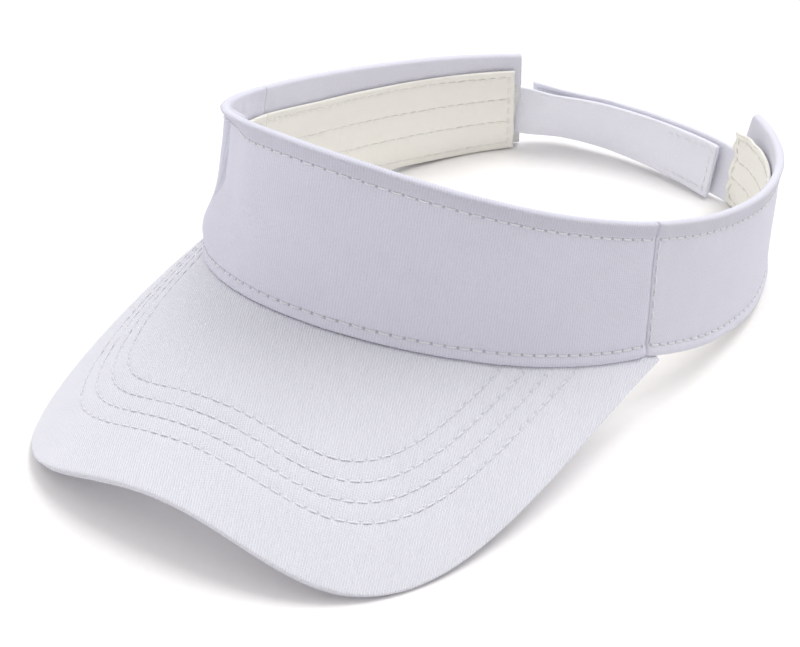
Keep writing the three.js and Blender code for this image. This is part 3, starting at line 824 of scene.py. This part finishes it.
def sweatband(side, start, end):
    phi = stations(start, end, 0.9)[:, None]
    climb = np.linspace(0, 1, 44)[None]
    rise = BAND_LIFT + SWEATBAND_ROUND + (sweatband_top(phi) - BAND_LIFT - 2 * SWEATBAND_ROUND) * climb
    inner = SWEATBAND_FACE + sweatband_relief(phi, rise)
    outer = SWEATBAND_OUT - 0.15 + sweatband_lift(phi, rise) + 0 * rise
    top_turn = np.linspace(0, np.pi, 6)[None, 1:-1]

    def edge(at, sign):
        middle = (inner[:, at] + outer[:, at])[:, None] / 2
        half = (outer[:, at] - inner[:, at])[:, None] / 2
        across = middle + sign * half * np.cos(top_turn)
        return stack(across, rise[:, at][:, None] + sign * SWEATBAND_ROUND * np.sin(top_turn))

    up = stack(outer, rise)
    down = stack(inner, rise)[:, ::-1]
    over, under = edge(-1, 1), edge(0, -1)
    half = under.shape[1] // 2
    profile = np.concatenate([under[:, half:], up, over, down, under[:, :half]], axis=1)
    rings = on_band(phi, profile[..., 1], profile[..., 0])
    facing_in = profile[..., 0] < (inner.max() + outer.min()) / 2
    gap = np.where(facing_in, sweatband_row_distance(phi, profile[..., 1]), CLEAR)
    u = band_length(phi)
    obj = sweep(side + "_sweatband_pad", rings, lining_cloth, u, ring_lengths(rings), stitch=(u, gap))
    return attach(obj, side_body(side), "sweatband", side + "_sweatband")


def upright_row(name, side, phi, low, high, face, facing, material, node, relief):
    """A row of stitches running up the band at one place."""
    rise = np.linspace(low, high, 120)
    where = np.full_like(rise, phi)
    path = on_band(where, rise, face + relief(where, rise))
    nx, ny = outwards(where)
    obj = stitch_line(name, path, stack(nx * facing, ny * facing, 0 * nx), material)
    return attach(obj, side + "_side", "thread", *node)


def band_section(side, start, end, sweatband_end, material):
    panel(side, start, end, material)
    interlining(side, start, end)
    sweatband(side, start, sweatband_end)
    band_row(side + "_top_stitches", side, start, end, lambda p: band_height(p) - TOP_STITCH_DEPTH,
             0, white_thread, [side + "_top_stitch"], relief=band_relief)
    band_row(side + "_bottom_stitches", side, start, end, lambda p: BOTTOM_STITCH_RISE + 0 * p,
             0, white_thread, [side + "_bottom_stitch"], relief=band_relief)
    for row in range(SWEATBAND_ROWS):
        band_row(f"{side}_sweatband_stitches_{row + 1}", side, start, sweatband_end,
                 lambda p, row=row: sweatband_row_rise(p, row), SWEATBAND_FACE, cream_thread,
                 [f"{side}_sweatband_stitch_{row + 1}"], facing=-1, relief=sweatband_relief)


seam_edge = SEAM - SEAM_CREVICE
band_section("front", -seam_edge, seam_edge, seam_edge, front_cloth)
band_section("left", SEAM + SEAM_CREVICE, LEFT_END, LEFT_END - SWEATBAND_SETBACK, side_cloth)
band_section("right", -SEAM - SEAM_CREVICE, RIGHT_END, RIGHT_END + SWEATBAND_SETBACK, side_cloth)

for side, sign, panel_end in (("left", 1, LEFT_END), ("right", -1, RIGHT_END)):
    seam_phi = sign * (SEAM + SEAM_STITCH_OFFSET)
    top = float(band_height(np.array(seam_phi))) - TOP_STITCH_DEPTH
    upright_row(side + "_seam_stitches", side, seam_phi, BOTTOM_STITCH_RISE, top, 0, 1,
                white_thread, [side + "_seam_stitch"], band_relief)
    end_phi = panel_end - sign * SWEATBAND_SETBACK - sign * 0.022
    top = float(sweatband_top(np.array(end_phi))) - SWEATBAND_END_MARGIN
    upright_row(side + "_sweatband_end_stitches", side, end_phi,
                BAND_LIFT + SWEATBAND_END_MARGIN, top, SWEATBAND_FACE, -1, cream_thread, [],
                sweatband_relief)

# ---------- the peak ----------

def row_curve(row, turn):
    return outline(
        turn,
        PEAK_HALF_ARC - ROW_INSET_SIDE - row * ROW_PITCH_SIDE,
        PEAK_REACH - ROW_INSET_FRONT - row * ROW_PITCH_FRONT,
        ROW_POWER + ROW_POWER_STEP * row,
    )


def ahead_of_band(x, y):
    """Horizontal distance ahead of the band's bottom edge, negative under it."""
    phi = np.linspace(-SEAM, SEAM, 240)
    bx, by = bottom_plan(phi)
    nx, ny = outwards(phi)
    away = np.hypot(x[:, None] - bx, y[:, None] - by)
    nearest = away.argmin(1)
    return (x - bx[nearest]) * nx[nearest] + (y - by[nearest]) * ny[nearest]


def peak_rows():
    """For each row: its points clear of the band, and the length along them."""
    rows = []
    for row in range(ROW_COUNT):
        turn = np.linspace(-1.5, 1.5, 1400)
        x, y = row_curve(row, turn)
        keep = ahead_of_band(x, y) > 0.2
        x, y = x[keep], y[keep]
        points = on_peak(x, y, 0.0)
        rows.append((x, y, lengths_along(points)))
    return rows


ROWS = peak_rows()


def nearest_row(x, y):
    """Distance to the nearest peak row, and how far along that row the place is."""
    shape = x.shape
    x, y = x.reshape(-1), y.reshape(-1)
    best, along = np.full(x.size, float(CLEAR)), np.zeros(x.size)
    for rx, ry, length in ROWS:
        for block in range(0, x.size, 4000):
            part = slice(block, block + 4000)
            away = np.hypot(x[part, None] - rx[::3], y[part, None] - ry[::3])
            k = away.argmin(1)
            distance = away[np.arange(len(k)), k]
            closer = distance < best[part]
            best[part] = np.where(closer, distance, best[part])
            along[part] = np.where(closer, length[::3][k], along[part])
    return best.reshape(shape), along.reshape(shape)


def peak_relief(x, y):
    distance, along = nearest_row(x, y)
    pull = 0.7 + 0.3 * np.cos(2 * np.pi * along / STITCH_PITCH)
    relief = -PEAK_ROW_DRAW * hollow(distance, 1.0) * pull + 0.07 * hollow(distance, 4) * ripple(x, y, 3, 9)
    return relief + 0.12 * ripple(x, y, 7, 38) + 0.05 * ripple(x, y, 2, 14)


def peak_skin(profile, relief):
    """One face of a cover; profile is its section at the rim, as (inset, height) pairs."""
    across = np.linspace(-1, 1, 251)[:, None]
    phi = across * (SEAM + PEAK_PAST_SEAM)
    nx, ny = outwards(phi)
    bx, by = bottom_plan(phi)
    sink = np.maximum(0, peak_height(bx, by) - bottom_edge(phi)[..., 2])
    bx, by = bx - nx * PEAK_TUCK, by - ny * PEAK_TUCK
    turn = across * PEAK_BACK_TURN
    start_inset, start_height = profile[0]
    rx, ry = outline(turn, PEAK_HALF_ARC - start_inset, PEAK_REACH - start_inset, PEAK_POWER)
    share = np.linspace(0, 1, 74)[None] ** 0.92
    x, y = bx + (rx - bx) * share, by + (ry - by) * share
    uneven = relief(x, y) if relief else 0
    fade = np.clip((1 - share) * 14, 0, 1)
    drop = stack(0, 0, PEAK_FOOT_SINK * sink * (1 - share))
    skin = [on_peak(x, y, start_height + uneven * fade) - drop]
    for inset, height in profile[1:]:
        px, py = outline(turn, PEAK_HALF_ARC - inset, PEAK_REACH - inset, PEAK_POWER)
        skin.append(on_peak(px, py, height))
    return np.concatenate(skin, 1)


def build_cover(name, outer, inner, material, relief):
    top, bottom = peak_skin(outer, relief), peak_skin(inner, None)
    rings = np.concatenate([top, bottom[:, ::-1]], axis=1)
    flat_x, flat_y = rings[..., 0], rings[..., 1]
    arc = np.sign(flat_x) * np.hypot(flat_x, PEAK_CURL * flat_x**2)
    n, m = rings.shape[:2]
    close = np.concatenate([np.arange(m), [0]])
    distance, along = nearest_row(flat_x, flat_y)
    distance[:, top.shape[1]:] = CLEAR
    return sweep(name, rings, material, arc[:, close], flat_y[:, close], stitch=(along, distance))


ROLL = 0.5
COVER = 0.4
RIM_HOLLOW = 0.4  # the rim's upright face is drawn in below the shoulder
WALL = -1.95  # how far down the top cloth hangs over the rim
roll_turn = np.linspace(np.pi / 2, 0, 6)


def rim_profile(inset):
    """The top cloth's section at the rim: a round shoulder and a short upright face."""
    radius = ROLL - inset
    shoulder = [(ROLL - radius * math.cos(t), -ROLL + radius * math.sin(t)) for t in roll_turn]
    wall = [(inset + RIM_HOLLOW, WALL * 0.45), (inset + RIM_HOLLOW, WALL * 0.75)]
    return shoulder + wall + [(inset + 0.12, WALL + 0.2), (inset + 0.2, WALL)]


top_cover = build_cover("peak_top_cloth", rim_profile(0.0), rim_profile(COVER), peak_cloth, peak_relief)
attach(top_cover, "front", "peak_cloth", "peak_top_cover")

UNDER_TOP, UNDER_BOTTOM = WALL - 0.12, -PEAK_THICKNESS
UNDER_INSET = 0.1
under_middle = (UNDER_TOP + UNDER_BOTTOM) / 2
under_upper = [
    (UNDER_INSET + 0.5, UNDER_TOP),
    (UNDER_INSET + 0.12, UNDER_TOP - 0.08),
    (UNDER_INSET, under_middle + 0.1),
]
under_lower = [
    (UNDER_INSET + 0.5, UNDER_BOTTOM),
    (UNDER_INSET + 0.12, UNDER_BOTTOM + 0.1),
    (UNDER_INSET, under_middle - 0.1),
]
under = build_cover("peak_under_cloth", under_upper, under_lower, under_cloth, None)
attach(under, "front", "peak_cloth", "peak_under_cover")

for row, (x, y, length) in enumerate(ROWS):
    path = on_peak(x, y, -PEAK_STITCH_SINK)
    normals = on_peak(x, y, 1 - PEAK_STITCH_SINK) - path
    marks = (np.arange(int(length[-1] / STITCH_PITCH)) + 0.5) * STITCH_PITCH
    stitches = stitch_line(f"peak_stitches_{row + 1}", path, normals, white_thread, STITCH_PITCH, marks)
    attach(stitches, "front", "thread", f"peak_stitch_row_{row + 1}")

# ---------- the straps ----------

def strap_sheet(name, strap, share_from, share_to, low, high, outer, inner, material, relief=None):
    length = abs(strap["tip"] - strap["root"]) * MEETING_RADIUS
    share = np.linspace(share_from, share_to, int(length * (share_to - share_from) / 0.8) + 2)[:, None]
    climb = np.linspace(0, 1, 22)[None]
    half = (outer - inner) / 2
    edge = min(STRAP_ROUND, half)
    rise = low + edge + (high - low - 2 * edge) * climb
    middle = (outer + inner) / 2 + 0 * share
    uneven = relief(share * length, rise) if relief else 0 * rise
    up = stack(middle + half + uneven * 0.4, rise)
    down = stack(middle - half + uneven, rise)[:, ::-1]
    turn = np.linspace(0, np.pi, 6)[None, 1:-1]

    def round_edge(at, sign):
        across = middle + sign * half * np.cos(turn)
        return stack(across, rise[:, at][:, None] + sign * edge * np.sin(turn))

    over, under_edge = round_edge(-1, 1), round_edge(0, -1)
    split = under_edge.shape[1] // 2
    profile = np.concatenate([under_edge[:, split:], up, over, down, under_edge[:, :split]], axis=1)
    rings = on_strap(strap, share, profile[..., 1], profile[..., 0])
    u = np.abs(share) * length
    no_row = np.full(profile.shape[:2], float(CLEAR))
    return sweep(name, rings, material, u, ring_lengths(rings), stitch=(u, no_row))


def strap_relief(u, rise):
    edge = np.minimum(rise, STRAP_WIDTH - rise)
    return -0.3 * ripple(u, rise, 4, 26) - 0.22 * hollow(edge - 0.9, 0.8) - 0.05 * ripple(u, rise, 8, 9)


loop_face = MEETING_RADIUS - FASTENER_GAP / 2
hook_face = MEETING_RADIUS + FASTENER_GAP / 2
right_out = loop_face - TAPE - 0.1
right_in = right_out - STRAP_CLOTH
left_in = hook_face + TAPE + 0.1
left_out = left_in + STRAP_CLOTH


def add_strap(name, side, strap, out, inward):
    """A strap's cloth, from a little past its panel's end to its tip."""
    obj = strap_sheet(
        name, strap, ROOT_TUCK[side], 1, 0, STRAP_WIDTH, out, inward, strap_cloth, strap_relief
    )
    attach_strap(obj, side, "band_cloth", side + "_strap")


def add_tape(kind, side, strap, start, out, inward, material):
    """Hook or loop tape on a strap, from start to just short of the strap's tip."""
    high = STRAP_WIDTH - TAPE_MARGIN
    obj = strap_sheet(kind + "_pile", strap, start, 0.98, TAPE_MARGIN, high, out, inward, material)
    attach_strap(obj, side, kind, kind)


add_strap("right_strap_cloth", "right", RIGHT_STRAP, right_out, right_in)
add_strap("left_strap_cloth", "left", LEFT_STRAP, left_out, left_in)
add_tape("loop_tape", "right", RIGHT_STRAP, 0.2, loop_face, loop_face - TAPE, loop_felt)
add_tape("hook_tape", "left", LEFT_STRAP, 0.45, hook_face + TAPE, hook_face, hook_felt)


def strap_stitches(name, side, strap, start, end, radius, facing, node):
    """One row along each edge and one across the tip."""
    margin = STRAP_STITCH_MARGIN
    length = abs(strap["tip"] - strap["root"]) * MEETING_RADIUS
    stop = end - margin / length
    run = np.linspace(start, stop, 160)
    up = np.linspace(margin, STRAP_WIDTH - margin, 60)
    share = np.concatenate([run, np.full_like(up, stop), run[::-1]])
    rise = np.concatenate([np.full_like(run, margin), up, np.full_like(run, STRAP_WIDTH - margin)])
    path = on_strap(strap, share, rise, radius)
    normals = (on_strap(strap, share, rise, radius + 1) - path) * facing
    obj = stitch_line(name, path, normals, white_thread, STRAP_STITCH_PITCH)
    return attach_strap(obj, side, "thread", node)


strap_stitches("right_strap_stitches", "right", RIGHT_STRAP, 0.72, 1.0, right_in, -1, "right_strap_stitch")
strap_stitches("left_strap_stitches", "left", LEFT_STRAP, 0.45, 1.0, left_out, 1, "left_strap_stitch")

stiffener = frame["nodes"]["peak_stiffener"]
stiffener.data.materials.clear()
stiffener.data.materials.append(board)

# ---------- studio ----------

CAMERA_AZIMUTH, CAMERA_ELEVATION = math.radians(35.94), math.radians(31.75)
CAMERA_DISTANCE = 764.9
CAMERA_TARGET = np.array([25.24, -76.91, 45.0])
FOCAL_PIXELS = 2838.3
IMAGE_WIDTH = 800
SENSOR = 36.0
OPTICAL_AXIS_SHIFT = (-0.8 / IMAGE_WIDTH, -13.8 / IMAGE_WIDTH)
FLOOR_REACH = 3.0
ROOM_LEVEL = 0.24
ROOM_GRADIENT = (-0.42, -0.03, 0.7)


def add_camera():
    azimuth, elevation = CAMERA_AZIMUTH, CAMERA_ELEVATION
    back = np.array([
        math.sin(azimuth) * math.cos(elevation),
        -math.cos(azimuth) * math.cos(elevation),
        math.sin(elevation),
    ])
    right_way = np.array([math.cos(azimuth), math.sin(azimuth), 0.0])
    up = np.cross(back, right_way)
    turn = stance @ np.column_stack([right_way, up, back])
    data = bpy.data.cameras.new("camera")
    data.sensor_width = SENSOR
    data.lens = FOCAL_PIXELS * SENSOR / IMAGE_WIDTH
    data.shift_x, data.shift_y = OPTICAL_AXIS_SHIFT
    data.clip_start = 0.01
    camera = bpy.data.objects.new("camera", data)
    spot = place([CAMERA_TARGET + back * CAMERA_DISTANCE])[0]
    camera.matrix_world = Matrix.Translation(spot) @ Matrix(turn.tolist()).to_4x4()
    bpy.context.scene.collection.objects.link(camera)
    bpy.context.scene.camera = camera


def add_sun(name, strength, spread, azimuth, elevation):
    data = bpy.data.lights.new(name, "SUN")
    data.energy = strength
    data.angle = math.radians(spread)
    sun = bpy.data.objects.new(name, data)
    azimuth, elevation = math.radians(azimuth), math.radians(elevation)
    level = math.cos(elevation)
    toward = Vector((math.cos(azimuth) * level, math.sin(azimuth) * level, math.sin(elevation)))
    sun.rotation_euler = toward.to_track_quat("Z", "Y").to_euler()
    bpy.context.scene.collection.objects.link(sun)


def add_floor():
    nodes = Nodes("floor_paper")
    spot = nodes.add("ShaderNodeTexCoord").outputs["Object"]
    grain = nodes.noise(spot, 400.0, 3.0)
    tone = nodes.mix(nodes.spread(grain, 0.3, 0.7), (0.94, 0.925, 0.92, 1), (0.96, 0.945, 0.94, 1))
    nodes.feed(nodes.surface.inputs["Base Color"], tone)
    nodes.surface.inputs["Roughness"].default_value = 0.95
    nodes.surface.inputs["Specular IOR Level"].default_value = 0.0
    mesh = bpy.data.meshes.new("floor")
    corners = [(x * FLOOR_REACH, y * FLOOR_REACH, 0) for x, y in ((-1, -1), (1, -1), (1, 1), (-1, 1))]
    mesh.from_pydata(corners, [], [(0, 1, 2, 3)])
    mesh.materials.append(nodes.material)
    floor = bpy.data.objects.new("floor", mesh)
    bpy.context.scene.collection.objects.link(floor)


def add_world():
    """A white room, brightest overhead and brighter on the wearer's right than on the left."""
    world = bpy.data.worlds.new("studio")
    world.use_nodes = True
    tree = world.node_tree
    direction = tree.nodes.new("ShaderNodeTexCoord").outputs["Generated"]
    lean = tree.nodes.new("ShaderNodeVectorMath")
    lean.operation = "DOT_PRODUCT"
    lean.inputs[1].default_value = ROOM_GRADIENT
    total = tree.nodes.new("ShaderNodeMath")
    total.operation = "ADD"
    total.inputs[1].default_value = ROOM_LEVEL
    tree.links.new(direction, lean.inputs[0])
    tree.links.new(lean.outputs["Value"], total.inputs[0])
    tree.links.new(total.outputs[0], tree.nodes["Background"].inputs["Strength"])
    tree.nodes["Background"].inputs["Color"].default_value = (1, 1, 1, 1)
    bpy.context.scene.world = world


add_camera()
add_floor()
add_world()
add_sun("key", 1.6, 36, 62, 62)
add_sun("fill", 0.25, 60, 10, 35)
bpy.context.scene.view_settings.view_transform = "Standard"
